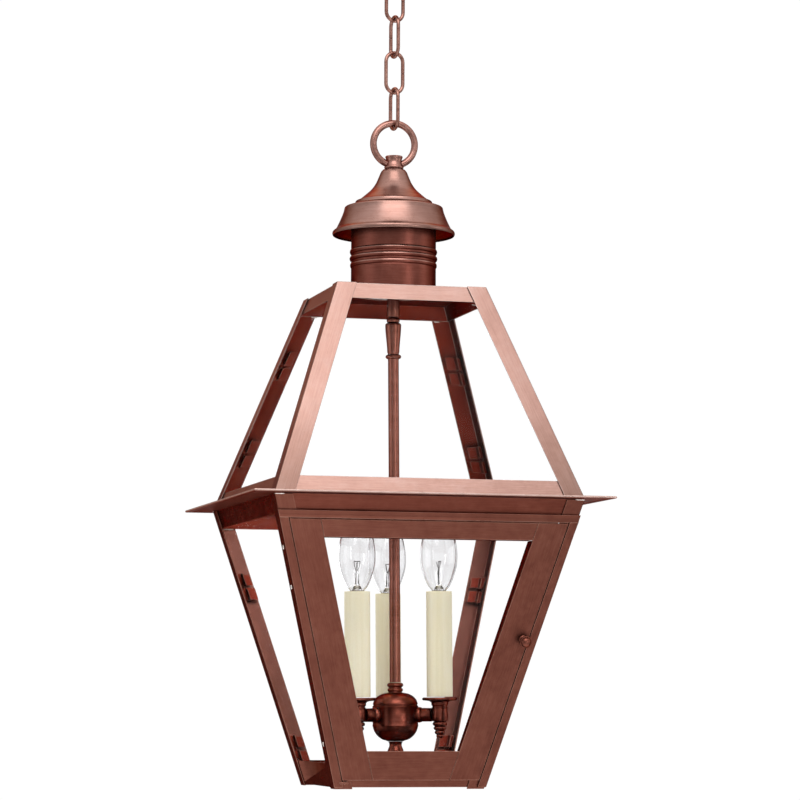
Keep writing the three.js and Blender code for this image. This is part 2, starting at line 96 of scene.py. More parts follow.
POST_TOP, POST_FOOT = body_high.z, body_low.z
HIP_TOP, HIP_FOOT = roof_high.z, roof_low.z
BODY_FOOT = local("bottom_frame")[0].z
SWIVEL_Z, STEM_LEAN = 172.5, 0.62  # the stem hangs this many degrees out of plumb
HUNG = (Matrix.Translation((0, 0, SWIVEL_Z)) @ Matrix.Rotation(radians(-STEM_LEAN), 4, "Y")
        @ Matrix.Translation((0, 0, -SWIVEL_Z)))
CANDLES = [HUNG.inverted() @ (sum(local(f"candle_sleeve_{i}"), Vector()) / 2) for i in (1, 2, 3)]

# ---- camera
CAMERA_PLACE = (-0.706, -2.775, EAVE_Z - 0.182)
CAMERA_YAW = radians(-14.41)
CAMERA_PITCH = radians(5.58)
CAMERA_ROLL = radians(0.27)
CAMERA_LENS, CAMERA_SENSOR = 138.06, 36


def make_camera():
    camera = bpy.data.objects.new("camera", bpy.data.cameras.new("camera"))
    bpy.context.scene.collection.objects.link(camera)
    camera.data.lens = CAMERA_LENS
    camera.data.sensor_width = CAMERA_SENSOR
    camera.data.clip_end = 60
    turn = Matrix.Rotation(CAMERA_YAW, 4, "Z") @ Matrix.Rotation(pi / 2 + CAMERA_PITCH, 4, "X")
    turn = turn @ Matrix.Rotation(CAMERA_ROLL, 4, "Z")
    camera.matrix_world = Matrix.Translation(CAMERA_PLACE) @ turn
    bpy.context.scene.camera = camera


make_camera()


# ---- materials
def node(tree, kind, **values):
    """A shader node, its sockets or its own settings given by name."""
    made = tree.nodes.new("ShaderNode" + kind)
    for key, value in values.items():
        if key in made.inputs:
            made.inputs[key].default_value = value
        else:
            setattr(made, key, value)
    return made


def noise(tree, vector, scale, detail=4.0, rough=0.55):
    made = node(tree, "TexNoise", Scale=scale, Detail=detail, Roughness=rough)
    tree.links.new(vector, made.inputs["Vector"])
    return made.outputs["Fac"]


def ramp(tree, value, stops):
    made = node(tree, "ValToRGB")
    elements = made.color_ramp.elements
    while len(elements) < len(stops):
        elements.new(0.5)
    for element, (place, colour) in zip(elements, stops):
        element.position = place
        element.color = (*colour, 1)
    tree.links.new(value, made.inputs["Fac"])
    return made.outputs["Color"]


def feed(tree, value, socket):
    """Sets a socket to a number or a colour, or links an output to it."""
    if isinstance(value, (int, float)):
        socket.default_value = value
    elif isinstance(value, tuple):
        socket.default_value = (*value, 1)
    else:
        tree.links.new(value, socket)


def mix_colour(tree, factor, a, b, blend="MIX"):
    made = node(tree, "Mix", data_type="RGBA", blend_type=blend)
    for value, place in ((factor, 0), (a, 6), (b, 7)):  # the sockets of a colour mix
        feed(tree, value, made.inputs[place])
    return made.outputs[2]


def maths(tree, operation, *values):
    made = node(tree, "Math", operation=operation)
    for value, socket in zip(values, made.inputs):
        feed(tree, value, socket)
    return made.outputs[0]


def bump(tree, height, strength, distance, under=None):
    """The normal of a bump, laid over another one where under is given."""
    made = node(tree, "Bump", Strength=strength, Distance=distance)
    tree.links.new(height, made.inputs["Height"])
    if under:
        tree.links.new(under, made.inputs["Normal"])
    return made.outputs["Normal"]


def height_in(tree, vector):
    """The Z of a vector."""
    split = node(tree, "SeparateXYZ")
    tree.links.new(vector, split.inputs[0])
    return split.outputs["Z"]


def new_material(name, **constants):
    """A principled material. In a socket's name, an underscore stands for a space."""
    material = bpy.data.materials.new(name)
    material.use_nodes = True
    tree = material.node_tree
    shader = tree.nodes["Principled BSDF"]
    for key, value in constants.items():
        shader.inputs[key.replace("_", " ")].default_value = value
    return material, tree, shader


def copper(name, deep, mid, bright, rough=0.36, streaks=0.5, fade=None):
    """Brushed antique copper: cloudy patina, streaks along the grain, soft dents.

    fade is how far up from the eave plane, in metres, its darker foot reaches.
    """
    tint = (*(0.75 * tone for tone in bright), 1)
    material, tree, shader = new_material(name, Metallic=1.0, Specular_Tint=tint)
    places = node(tree, "TexCoord").outputs["Object"]
    grain = node(tree, "Attribute", attribute_name="grain").outputs["Vector"]
    clouds = noise(tree, places, 22, 6)
    patches = noise(tree, places, 110, 5, 0.65)
    brushed = noise(tree, grain, 1.0, 5, 0.62)
    scratches = noise(tree, grain, 3.4, 3, 0.7)
    tone = maths(tree, "ADD", maths(tree, "MULTIPLY", clouds, 0.35),
                 maths(tree, "MULTIPLY", patches, 0.3))
    tone = maths(tree, "ADD", tone, maths(tree, "MULTIPLY", brushed, 0.35))
    colour = ramp(tree, tone, [(0.36, deep), (0.5, mid), (0.64, bright)])
    streaked = ramp(tree, scratches, [(0.3, (0.66, 0.62, 0.6)), (0.5, (1, 1, 1)),
                                      (0.72, (1.2, 1.2, 1.2))])
    colour = mix_colour(tree, streaks, colour, streaked, "MULTIPLY")
    if fade:
        climb = maths(tree, "MULTIPLY_ADD", height_in(tree, places), 1 / fade, -EAVE_Z / fade)
        shade = ramp(tree, climb, [(0.15, (0.64, 0.62, 0.6)), (1.0, (1, 1, 1))])
        colour = mix_colour(tree, 1.0, colour, shade, "MULTIPLY")
    tree.links.new(colour, shader.inputs["Base Color"])
    wear = maths(tree, "MULTIPLY_ADD", scratches, 0.16, rough - 0.08)
    spread = maths(tree, "MULTIPLY_ADD", patches, 0.18, -0.09)
    tree.links.new(maths(tree, "ADD", wear, spread), shader.inputs["Roughness"])
    dents = bump(tree, clouds, 0.3, 0.001)
    strokes = maths(tree, "ADD", brushed, maths(tree, "MULTIPLY", patches, 0.8))
    tree.links.new(bump(tree, strokes, 0.12, 0.0002, dents), shader.inputs["Normal"])
    return material


def glass(name, ior, alpha, tint=(1, 1, 1), rim=None):
    """Clear glass with a trace of film, to be just seen. rim is its tone edge-on."""
    material, tree, shader = new_material(name, Transmission_Weight=1, IOR=ior, Alpha=alpha,
                                          Base_Color=(*tint, 1))
    if rim:
        edge_on = node(tree, "LayerWeight", Blend=0.5).outputs["Facing"]
        tree.links.new(ramp(tree, edge_on, [(0.55, tint), (0.8, rim)]), shader.inputs["Base Color"])
    places = node(tree, "TexCoord").outputs["Object"]
    film = maths(tree, "MULTIPLY_ADD", noise(tree, places, 40, 5), 0.03, 0.0)
    tree.links.new(film, shader.inputs["Roughness"])
    return material


def candle_wax():
    """Cream candle sleeve: a soft resin with faint long streaks and speckles."""
    material, tree, shader = new_material("candle_cream", Subsurface_Weight=0.25,
                                          Subsurface_Radius=(0.004, 0.003, 0.002),
                                          Subsurface_Scale=1.0)
    places = node(tree, "TexCoord").outputs["Object"]
    long_way = node(tree, "Mapping", Scale=(160, 160, 6))
    tree.links.new(places, long_way.inputs["Vector"])
    streak = noise(tree, long_way.outputs["Vector"], 1.0, 4)
    specks = noise(tree, places, 900, 3)
    colour = ramp(tree, streak, [(0.3, (0.84, 0.745, 0.5)), (0.55, (0.92, 0.83, 0.6)),
                                 (0.75, (0.95, 0.87, 0.66))])
    speckled = ramp(tree, specks, [(0.3, (0.7, 0.62, 0.4)), (0.6, (1, 1, 1))])
    colour = mix_colour(tree, 0.12, colour, speckled, "MULTIPLY")
    tree.links.new(colour, shader.inputs["Base Color"])
    soft = maths(tree, "MULTIPLY_ADD", streak, 0.2, 0.4)
    tree.links.new(soft, shader.inputs["Roughness"])
    tree.links.new(bump(tree, streak, 0.15, 0.0003), shader.inputs["Normal"])
    return material


def plain(name, low, high, rough, metallic):
    """A small part's finish: two close tones in a fine mottle, with a slight bump."""
    material, tree, shader = new_material(name, Metallic=metallic)
    places = node(tree, "TexCoord").outputs["Object"]
    mottle = noise(tree, places, 120, 5)
    tree.links.new(ramp(tree, mottle, [(0.35, low), (0.65, high)]), shader.inputs["Base Color"])
    spread = maths(tree, "MULTIPLY_ADD", mottle, 0.2, rough - 0.1)
    tree.links.new(spread, shader.inputs["Roughness"])
    tree.links.new(bump(tree, mottle, 0.2, 0.0003), shader.inputs["Normal"])
    return material


BODY_COPPER = copper("body_copper", (0.136, 0.043, 0.03), (0.172, 0.058, 0.04),
                     (0.207, 0.076, 0.053))
# lighter copper for the body's bevelled edges: rubbing, and a painted highlight along the folds
BODY_WEAR_AND_HIGHLIGHT = copper("body_wear_and_highlight", (0.265, 0.117, 0.085), (0.329, 0.159, 0.117), (0.392, 0.207, 0.159),
                   rough=0.3)
ROOF_COPPER = copper("roof_copper", (0.243, 0.138, 0.113), (0.298, 0.176, 0.146),
                     (0.336, 0.214, 0.185))
HIP_COPPER = copper("hip_copper", (0.247, 0.14, 0.115), (0.302, 0.178, 0.148), (0.34, 0.217, 0.188),
                    fade=0.085)
# lighter copper for the roof's bevelled edges: rubbing, and a painted highlight along the folds
ROOF_WEAR_AND_HIGHLIGHT = copper("roof_wear_and_highlight", (0.382, 0.258, 0.222), (0.42, 0.296, 0.262), (0.448, 0.334, 0.302),
                   rough=0.3)
CAP_COPPER = copper("cap_copper", (0.235, 0.124, 0.1), (0.278, 0.153, 0.126), (0.322, 0.19, 0.162),
                    rough=0.31, streaks=0.25)
RING_COPPER = copper("ring_copper", (0.2, 0.088, 0.07), (0.3, 0.15, 0.122), (0.39, 0.215, 0.18),
                     rough=0.3, streaks=0.3)
CHAIN_COPPER = copper("chain_copper", (0.165, 0.072, 0.056), (0.3, 0.148, 0.117),
                      (0.42, 0.236, 0.192), rough=0.3)
STEM_COPPER = copper("stem_copper", (0.19, 0.062, 0.043), (0.26, 0.094, 0.067), (0.33, 0.13, 0.097),
                     rough=0.33)
CLUSTER_COPPER = copper("cluster_copper", (0.13, 0.031, 0.019), (0.18, 0.046, 0.03),
                        (0.235, 0.07, 0.049), rough=0.31, streaks=0.35)
CHIMNEY_COPPER = copper("chimney_copper", (0.134, 0.038, 0.026), (0.167, 0.051, 0.037),
                        (0.21, 0.071, 0.053), streaks=0.3)
# darker, redder copper for faces that look inwards or down, and inside the cap and chimney: painted
# shade
INNER_SHADE_COPPER = copper("inner_shade_copper", (0.122, 0.014, 0.007), (0.172, 0.024, 0.013),
                      (0.232, 0.042, 0.026), rough=0.42)
# darker copper for the eave's underside: painted shade
EAVE_UNDER_SHADE = copper("eave_under_shade", (0.2, 0.064, 0.046), (0.26, 0.092, 0.068), (0.32, 0.124, 0.095))
# darker copper for the band under the eave: the eave's shadow painted in
BAND_SHADOW_COPPER = copper("band_shadow_copper", (0.125, 0.033, 0.022), (0.16, 0.045, 0.03),
                     (0.195, 0.06, 0.041))
# darker copper for the posts' inward faces: painted shade
POST_INNER_SHADE = copper("post_inner_shade", (0.15, 0.052, 0.038), (0.2, 0.075, 0.056), (0.26, 0.107, 0.083),
                    rough=0.4)
PANE_GLASS = glass("pane_glass", 1.45, 0.004)
BULB_GLASS = glass("bulb_glass", 1.5, 1.0, (0.93, 0.928, 0.934), rim=(0.5, 0.5, 0.51))
CREAM = candle_wax()
TIN = plain("solder_tin", (0.62, 0.55, 0.5), (0.86, 0.82, 0.78), 0.3, 1.0)
BRASS = plain("bulb_brass", (0.26, 0.2, 0.11), (0.38, 0.3, 0.17), 0.3, 1.0)
WIRE = plain("support_wire", (0.05, 0.045, 0.045), (0.12, 0.11, 0.1), 0.35, 1.0)
PHENOLIC = plain("socket_phenolic", (0.55, 0.52, 0.45), (0.68, 0.65, 0.58), 0.55, 0.0)
STEEL = plain("strap_steel", (0.45, 0.45, 0.44), (0.62, 0.62, 0.6), 0.35, 1.0)


# ---- meshes
SLOW = 0.022  # how fast the brushing changes along its strokes, per millimetre
FAST = 0.85  # and across them
seeds = random.Random(7)


def faces_inwards(face):
    """True for a face that looks at the lantern's middle or straight down, where a darker finish
    paints shade.
    """
    middle, normal = face.center, face.normal
    away = Vector((middle.x, middle.y, 0)).normalized()
    return normal.dot(away) < -0.25 or normal.z < -0.75


def make(name, shape, body, material, replaces=(), grain="turned",
         zero=EAVE_Z, sharp=38, bevel=0.0, edge_wear_and_highlight=None, inner=None):
    """A piece from millimetre vertices and faces, riding on a body. grain is up, level or turned.

    The edge finish is lighter copper for bevelled edges: rubbing and a painted highlight. inner is
    darker copper for faces that look inwards or down: painted shade.
    """
    verts, faces = shape
    if body == "light_cluster":
        verts = [HUNG @ Vector(place) for place in verts]
    mesh = bpy.data.meshes.new(name)
    mesh.from_pydata([(x * MM, y * MM, z * MM + zero) for x, y, z in verts], [], faces)
    work = bmesh.new()
    work.from_mesh(mesh)
    bmesh.ops.remove_doubles(work, verts=work.verts, dist=1e-7)
    bmesh.ops.recalc_face_normals(work, faces=work.faces)
    work.to_mesh(mesh)
    work.free()
    shift = Vector((seeds.uniform(0, 50), seeds.uniform(0, 50), seeds.uniform(0, 50)))
    runs = {"up": lambda p: (p.z * SLOW, (abs(p.x) - abs(p.y)) * FAST,
                             (abs(p.x) + abs(p.y) + p.z) * SLOW),
            "level": lambda p: ((p.x + p.y) * SLOW, p.z * FAST, (p.x - p.y) * SLOW),
            "turned": lambda p: (p.x * SLOW * 2, p.y * SLOW * 2, p.z * FAST),}
    attribute = mesh.attributes.new("grain", "FLOAT_VECTOR", "POINT")
    for vertex, value in zip(mesh.vertices, attribute.data):
        place = Vector((vertex.co.x, vertex.co.y, vertex.co.z - zero)) / MM
        value.vector = Vector(runs[grain](place)) + shift
    mesh.shade_smooth()
    mesh.set_sharp_from_angle(angle=radians(sharp))
    for finish in (material, edge_wear_and_highlight or material, inner or material):
        mesh.materials.append(finish)
    # faces looking inwards or straight down take the darker finish: painted shade
    if inner:
        for face in mesh.polygons:
            face.material_index = 2 if faces_inwards(face) else 0
    piece = bpy.data.objects.new(name, mesh)
    bpy.context.scene.collection.objects.link(piece)
    if bevel:
        edge = piece.modifiers.new("edge", "BEVEL")
        edge.width = bevel * MM
        edge.segments = 2
        edge.limit_method = "ANGLE"
        edge.angle_limit = radians(40)
        # the bevels take the lighter finish: rubbing and a painted highlight along the edges
        edge.material = 1 if edge_wear_and_highlight else -1
        even = piece.modifiers.new("even", "WEIGHTED_NORMAL")
        even.keep_sharp = False
    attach(piece, body)
    if replaces:
        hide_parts(*replaces)
    return piece


def circle(count):
    """Evenly spaced angles once round."""
    return [2 * pi * i / count for i in range(count)]


def smooth_run(points, steps=6):
    """Points on a smooth curve through the given ones."""
    run = []
    for i in range(len(points) - 1):
        before = points[max(i - 1, 0)]
        a, b = points[i], points[i + 1]
        after = points[min(i + 2, len(points) - 1)]
        for step in range(steps):
            t = step / steps
            run.append(tuple(
                0.5 * (2 * q + (r - p) * t + (2 * p - 5 * q + 4 * r - s) * t * t
                       + (3 * q - p - 3 * r + s) * t ** 3)
                for p, q, r, s in zip(before, a, b, after)))
    run.append(points[-1])
    return run


def arc(r, z, size, start, end, steps=8):
    """Points round a centre in a turned outline, between two angles in degrees."""
    turns = [radians(start + (end - start) * i / steps) for i in range(steps + 1)]
    return [(r + size * cos(turn), z + size * sin(turn)) for turn in turns]


def turned_mesh(outline, around=64, centre=(0, 0)):
    """Vertices and faces of a turned shape. An outline closes on itself, or meets the axis."""
    verts, faces, rings = [], [], []
    for r, z in outline:
        if r < 1e-6:
            rings.append([len(verts)])
            verts.append((centre[0], centre[1], z))
            continue
        rings.append(list(range(len(verts), len(verts) + around)))
        for turn in circle(around):
            verts.append((centre[0] + r * cos(turn), centre[1] + r * sin(turn), z))
    on_axis = len(rings[0]) == 1 and len(rings[-1]) == 1
    pairs = list(zip(rings, rings[1:])) + ([] if on_axis else [(rings[-1], rings[0])])
    for a, b in pairs:
        for i in range(around):
            j = (i + 1) % around
            face = []
            for index in (a[i % len(a)], a[j % len(a)], b[j % len(b)], b[i % len(b)]):
                if index not in face:
                    face.append(index)
            if len(face) > 2:
                faces.append(face)
    return verts, faces


def tube_mesh(path, radius, sides=12, closed=False):
    """A round rod along points, its ends capped flat unless it closes on itself."""
    points = [Vector(p) for p in path]
    count = len(points)
    radii = radius if isinstance(radius, list) else [radius] * count
    tangents = []
    for i in range(count):
        ahead = points[(i + 1) % count] if closed or i < count - 1 else points[i]
        behind = points[i - 1] if closed or i > 0 else points[i]
        tangents.append((ahead - behind).normalized())
    side = tangents[0].orthogonal().normalized()
    verts, faces = [], []
    for i, (point, along) in enumerate(zip(points, tangents)):
        side = (side - along * side.dot(along)).normalized()
        over = along.cross(side)
        for turn in circle(sides):
            verts.append(tuple(point + (side * cos(turn) + over * sin(turn)) * radii[i]))
    last = count if closed else count - 1
    if closed:  # the frame may come back turned, so the seam joins the nearest vertices
        first = [Vector(v) for v in verts[:sides]]
        end = [Vector(v) for v in verts[-sides:]]
        offset = min(range(sides), key=lambda s: sum((end[k] - first[(k + s) % sides]).length
                                                     for k in range(sides)))
    for i in range(last):
        skip = offset if closed and i == count - 1 else 0
        base, following = i * sides, ((i + 1) % count) * sides
        for k in range(sides):
            j = (k + 1) % sides
            faces.append((base + k, base + j, following + (j + skip) % sides, following
                          + (k + skip) % sides))
    if not closed:
        faces.append(tuple(range(sides)))
        faces.append(tuple((count - 1) * sides + k for k in range(sides)))
    return verts, faces


def merge(*meshes):
    verts, faces = [], []
    for more_verts, more_faces in meshes:
        start = len(verts)
        verts += list(more_verts)
        faces += [tuple(start + i for i in face) for face in more_faces]
    return verts, faces


PLAN = 100


def lean(x, y, z, half):
    """A point drawn in plan on the square of half width PLAN, moved to the slope at z."""
    shift = half(z) - PLAN
    return (x + copysign(1, x) * shift, y + copysign(1, y) * shift, z)


def prism_mesh(outline, z0, z1, half, steps=1):
    """A leaned prism over an outline in plan."""
    count = len(outline)
    levels = [z0 + (z1 - z0) * i / steps for i in range(steps + 1)]
    verts = [lean(x, y, z, half) for z in levels for x, y in outline]
    faces = [tuple(range(count)), tuple(steps * count + i for i in range(count))]
    for level in range(steps):
        for i in range(count):
            j = (i + 1) % count
            a, b = level * count, (level + 1) * count
            faces.append((a + i, a + j, b + j, b + i))
    return verts, faces


def band_mesh(z0, z1, half, inset):
    """Four mitred strips that close round the frame."""
    verts, faces = [], []
    for z in (z0, z1):
        for reach in (PLAN - inset, PLAN - inset - SHEET):
            for sx, sy in ((-1, -1), (1, -1), (1, 1), (-1, 1)):
                verts.append(lean(sx * reach, sy * reach, z, half))
    for i in range(4):
        j = (i + 1) % 4
        faces += [(i, j, 8 + j, 8 + i), (4 + i, 4 + j, 12 + j, 12 + i), (i, j, 4 + j, 4 + i),
                  (8 + i, 8 + j, 12 + j, 12 + i)]
    return verts, faces


def box_mesh(low, high):
    verts = [(x, y, z) for z in (low[2], high[2]) for y in (low[1], high[1])
             for x in (low[0], high[0])]
    faces = [(0, 1, 3, 2), (4, 5, 7, 6), (0, 1, 5, 4), (2, 3, 7, 6), (0, 2, 6, 4), (1, 3, 7, 5)]
    return verts, faces


def moved(mesh, matrix):
    verts, faces = mesh
    return [tuple(matrix @ Vector(v)) for v in verts], faces


# ---- chain and ring
LINK_WIRE, LINK_HALF_WIDTH = 1.75, 10.4
CHAIN_TURN = 9.6  # degrees, seen from above


def link_mesh(node_name):
    """One chain link: wire bent into an oval, its two ends almost meeting on one side."""
    low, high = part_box(node_name)
    middle = (low + high) / 2
    straight = (high.z - low.z) / MM / 2 - LINK_WIRE
    bend = LINK_HALF_WIDTH - LINK_WIRE
    half_turn = [pi * i / 14 for i in range(15)]
    rise = straight - bend
    path = [(bend, 0, 0.25)]
    path += [(bend, 0, rise * t) for t in (0.33, 0.66)]
    path += [(bend * cos(t), 0, rise + bend * sin(t)) for t in half_turn]
    path += [(-bend, 0, rise * t) for t in (0.5, 0, -0.5)]
    path += [(-bend * cos(t), 0, -rise - bend * sin(t)) for t in half_turn]
    path += [(bend, 0, -rise * t) for t in (0.66, 0.33)] + [(bend, 0, -0.25)]
    wide = high.x - low.x > high.y - low.y
    turn = radians(CHAIN_TURN + (0 if wide else 90))
    place = Matrix.Translation((0, 0, middle.z / MM)) @ Matrix.Rotation(turn, 4, "Z")
    return moved(tube_mesh(path, LINK_WIRE, 16), place)


for i in range(1, 6):
    make(f"link_wire_{i}", link_mesh(f"chain_link_{i}"), f"link_{i}", CHAIN_COPPER,
         (f"chain_link_{i}",), zero=0, sharp=50)

RING_Z = local("hanging_loop")[1].z - 23.4
RING_MID, RING_WIRE = 20.1, 3.2


def ring_mesh(mid, wire, z, around=72, sides=20):
    path = [(mid * cos(t), 0, z + mid * sin(t)) for t in circle(around)]
    return tube_mesh(path, wire, sides, closed=True)


ring = ring_mesh(RING_MID, RING_WIRE, RING_Z)
spool = turned_mesh(
    [(0, 316.9), (8.6, 316.9)] + smooth_run([(9.1, 317.6), (9.1, 318.7), (8.2, 320.6), (7.4, 323.2),
     (7.4, 325.6), (8.1, 327.6), (8.3, 328.5)], 5) + [(7.8, 329.1), (0, 329.2)], 40)
rod_end = turned_mesh([(0, 250), (3.6, 250), (4, 250.4), (4, 316.9), (0, 316.9)], 24)
nut = turned_mesh([(0, 252), (7, 252), (7.5, 252.5), (7.5, 257), (7, 257.6), (0, 257.6)], 6)
make("hanging_ring", merge(ring, spool, rod_end, nut), "lantern_frame", RING_COPPER,
     ("hanging_loop",))

# ---- vent cap and chimney
cap_outside = ([(4.4, 316.6), (8.7, 316.6)]
               + smooth_run([(10.6, 315.8), (12.4, 313.4), (14.3, 308.8), (17.0, 302.8),
                             (21.4, 296.6), (28.3, 290.4), (33.4, 286.3)], 5)
               + arc(35.0, 284.6, 1.3, 100, 10, 5)
               + smooth_run([(36.9, 282.6), (39.2, 281.3), (42.4, 280.4)], 4)
               + arc(44.6, 278.3, 2.0, 95, 0, 6)
               + smooth_run([(47.2, 275.6), (48.9, 270.9), (51.9, 264.0), (53.9, 260.0)], 5)
               + smooth_run([(54.9, 258.6), (56.3, 257.6), (57.5, 256.4), (57.8, 254.6),
                             (57.2, 253.2)], 4))
cap_inside = smooth_run([(56.2, 253.4), (56.3, 255.6), (54.0, 258.0), (51.0, 262.8), (47.6, 270.6),
                         (45.8, 276.0), (43.4, 278.6), (38.6, 280.0), (33.0, 284.6), (27.4, 289.0),
                         (20.4, 295.2), (15.8, 301.8), (13.0, 308.0), (11.0, 313.0), (8.0, 315.4)],
                        4) + [(4.4, 315.4)]
make("vent_cap_bell", turned_mesh(cap_outside + cap_inside, 128), "lantern_frame", CAP_COPPER,
     ("vent_cap",), sharp=60, inner=INNER_SHADE_COPPER)

CHIMNEY_FOOT, CHIMNEY_TOP = (corner.z for corner in local("chimney"))
CHIMNEY_R = 40
chimney_outline = [(CHIMNEY_R - 1, CHIMNEY_FOOT), (CHIMNEY_R - 0.2, CHIMNEY_FOOT),
                   (CHIMNEY_R, CHIMNEY_FOOT + 0.2), (CHIMNEY_R, 220.6)]
BEAD_RISE = 2.3
for z, bulge in ((224.5, 0.9), (230.9, 1.4), (237.4, 1.2)):
    chimney_outline += [(CHIMNEY_R, z - BEAD_RISE - 0.6)]
    ridge = ((-0.2, -1), (bulge * 0.6, -0.72), (bulge, 0), (bulge * 0.6, 0.72), (-0.2, 1))
    chimney_outline += smooth_run([(CHIMNEY_R + out, z + BEAD_RISE * up) for out, up in ridge], 5)
chimney_outline += [(CHIMNEY_R, 241), (CHIMNEY_R, CHIMNEY_TOP - 0.2),
                    (CHIMNEY_R - 0.2, CHIMNEY_TOP), (CHIMNEY_R - 1, CHIMNEY_TOP)]
tube = turned_mesh(chimney_outline, 96)
bridge = box_mesh((-CHIMNEY_R + 0.8, -6, CHIMNEY_TOP - 4), (CHIMNEY_R - 0.8, 6, CHIMNEY_TOP - 2))
chimney_tube = make("chimney_tube", merge(tube, bridge), "lantern_frame", CHIMNEY_COPPER,
                    ("chimney",), edge_wear_and_highlight=RING_COPPER, inner=INNER_SHADE_COPPER)
for face in chimney_tube.data.polygons:
    if hypot(face.center.x, face.center.y) > (CHIMNEY_R + 0.6) * MM and face.normal.z > 0.1:
        face.material_index = 1  # the ridges' upper faces are lighter copper: a painted highlight

# ---- roof
def frame_sheet(name, shape, cad, metal, bevel=0.3, grain="level", inner=INNER_SHADE_COPPER):
    """A piece of the frame in bent sheet, its edges lighter for rubbing and a painted highlight,
    its inward and downward faces darker for painted shade.
    """
    on_roof = metal in (ROOF_COPPER, HIP_COPPER)
    make(name, shape, "lantern_frame", metal, (cad,), grain=grain, bevel=bevel, inner=inner,
         edge_wear_and_highlight=ROOF_WEAR_AND_HIGHLIGHT if on_roof else BODY_WEAR_AND_HIGHLIGHT)


PLATE_TOP = local("roof_top")[1].z
RAIL_INSET = SHEET + 0.4


def angle_outline(sx, sy, flange, fold=1.0):
    """Plan outline of an angle bar with a rounded fold, in the given corner."""
    outer, inner, end = PLAN, PLAN - SHEET, PLAN - flange
    bend = [(outer - fold + fold * cos(t), outer - fold + fold * sin(t))
            for t in [pi / 2 * i / 4 for i in range(5)]]
    outline = [(end, outer), (end, inner), (inner, inner), (inner, end), (outer, end)] + bend
    return [(sx * x, sy * y) for x, y in outline]


def ring_hole_plate(half, z0, z1, hole, bridge_half):
    """A square plate with a round hole, crossed by a bridge that carries the stem."""
    verts, faces = [], []
    around = 48
    for z in (z0, z1):
        for turn in circle(around):
            c, s = cos(turn), sin(turn)
            reach = half / max(abs(c), abs(s))
            verts.append((hole * c, hole * s, z))
            verts.append((reach * c, reach * s, z))
    for i in range(around):
        j = (i + 1) % around
        a, b, top = 2 * i, 2 * j, 2 * around
        faces += [(a, b, b + 1, a + 1), (top + a, top + b, top + b + 1, top + a + 1),
                  (a, b, top + b, top + a), (a + 1, b + 1, top + b + 1, top + a + 1)]
    span = sqrt(hole ** 2 - bridge_half ** 2)
    bridge = box_mesh((-span - 1, -bridge_half, z0 + 0.05), (span + 1, bridge_half, z1 - 0.05))
    return merge((verts, faces), bridge)


top_half = roof_half(PLATE_TOP) - RAIL_INSET
rails = band_mesh(PLATE_TOP - 14.8, PLATE_TOP - 0.4, roof_half, RAIL_INSET)
plate = ring_hole_plate(top_half - 0.2, PLATE_TOP - SHEET, PLATE_TOP, CHIMNEY_R - 2, 8)
frame_sheet("roof_top_plate", merge(rails, plate), "roof_top", ROOF_COPPER, 0.35)

CORNERS = {"front_left": (-1, -1), "front_right": (1, -1), "back_right": (1, 1),
           "back_left": (-1, 1)}
for place, (sx, sy) in CORNERS.items():
    shape = prism_mesh(angle_outline(sx, sy, HIP_FLANGE), HIP_FOOT, HIP_TOP, roof_half, 24)
    frame_sheet(f"hip_bar_{place}", shape, f"roof_hip_{place}", HIP_COPPER, 0.4, "up")

sill_low, sill_high = local("roof_sill")
frame_sheet("sill_rail", band_mesh(sill_low.z, sill_high.z, roof_half, RAIL_INSET), "roof_sill",
            ROOF_COPPER)

# ---- eave
EAVE_HALF = local("eave_flange")[1].x
EAVE_OPENING = 131


def eave_mesh():
    """The flat flange with its edge folded back on itself into a round hem."""
    hem = 1.1
    section = [(EAVE_OPENING, -SHEET), (EAVE_HALF - 6, -SHEET), (EAVE_HALF - 5, -SHEET - 0.5)]
    section += [(EAVE_HALF - hem + hem * cos(t), -0.6 + hem * sin(t))
                for t in [-pi / 2 + pi * i / 8 for i in range(9)]]
    section += [(EAVE_HALF - 5, 0.5), (EAVE_HALF - 6, 0), (EAVE_OPENING, 0)]
    verts, faces = [], []
    for reach, z in section:
        for sx, sy in ((-1, -1), (1, -1), (1, 1), (-1, 1)):
            verts.append((sx * reach, sy * reach, z))
    count = len(section)
    for i in range(count):
        for k in range(4):
            m = (k + 1) % 4
            a, b = 4 * i, 4 * ((i + 1) % count)
            faces.append((a + k, a + m, b + m, b + k))
    return verts, faces


# Its underside takes a darker copper: painted shade.
eave_sheet = make("eave_sheet", eave_mesh(), "lantern_frame", ROOF_COPPER, ("eave_flange",),
                  grain="level", sharp=30, edge_wear_and_highlight=ROOF_WEAR_AND_HIGHLIGHT, inner=EAVE_UNDER_SHADE)
for face in eave_sheet.data.polygons:
    reach = max(abs(face.center.x), abs(face.center.y))
    if reach > (EAVE_HALF - 1.3) * MM and face.normal.z > -0.4:
        face.material_index = 1  # the hem's upper and outer faces are lighter copper: a painted highlight

band_low = local("eave_band")[0]
# The band under the eave is darker copper: the eave's shadow painted on it.
frame_sheet("eave_band_rail", band_mesh(band_low.z, -SHEET - 0.1, body_half, RAIL_INSET),
            "eave_band", BAND_SHADOW_COPPER)

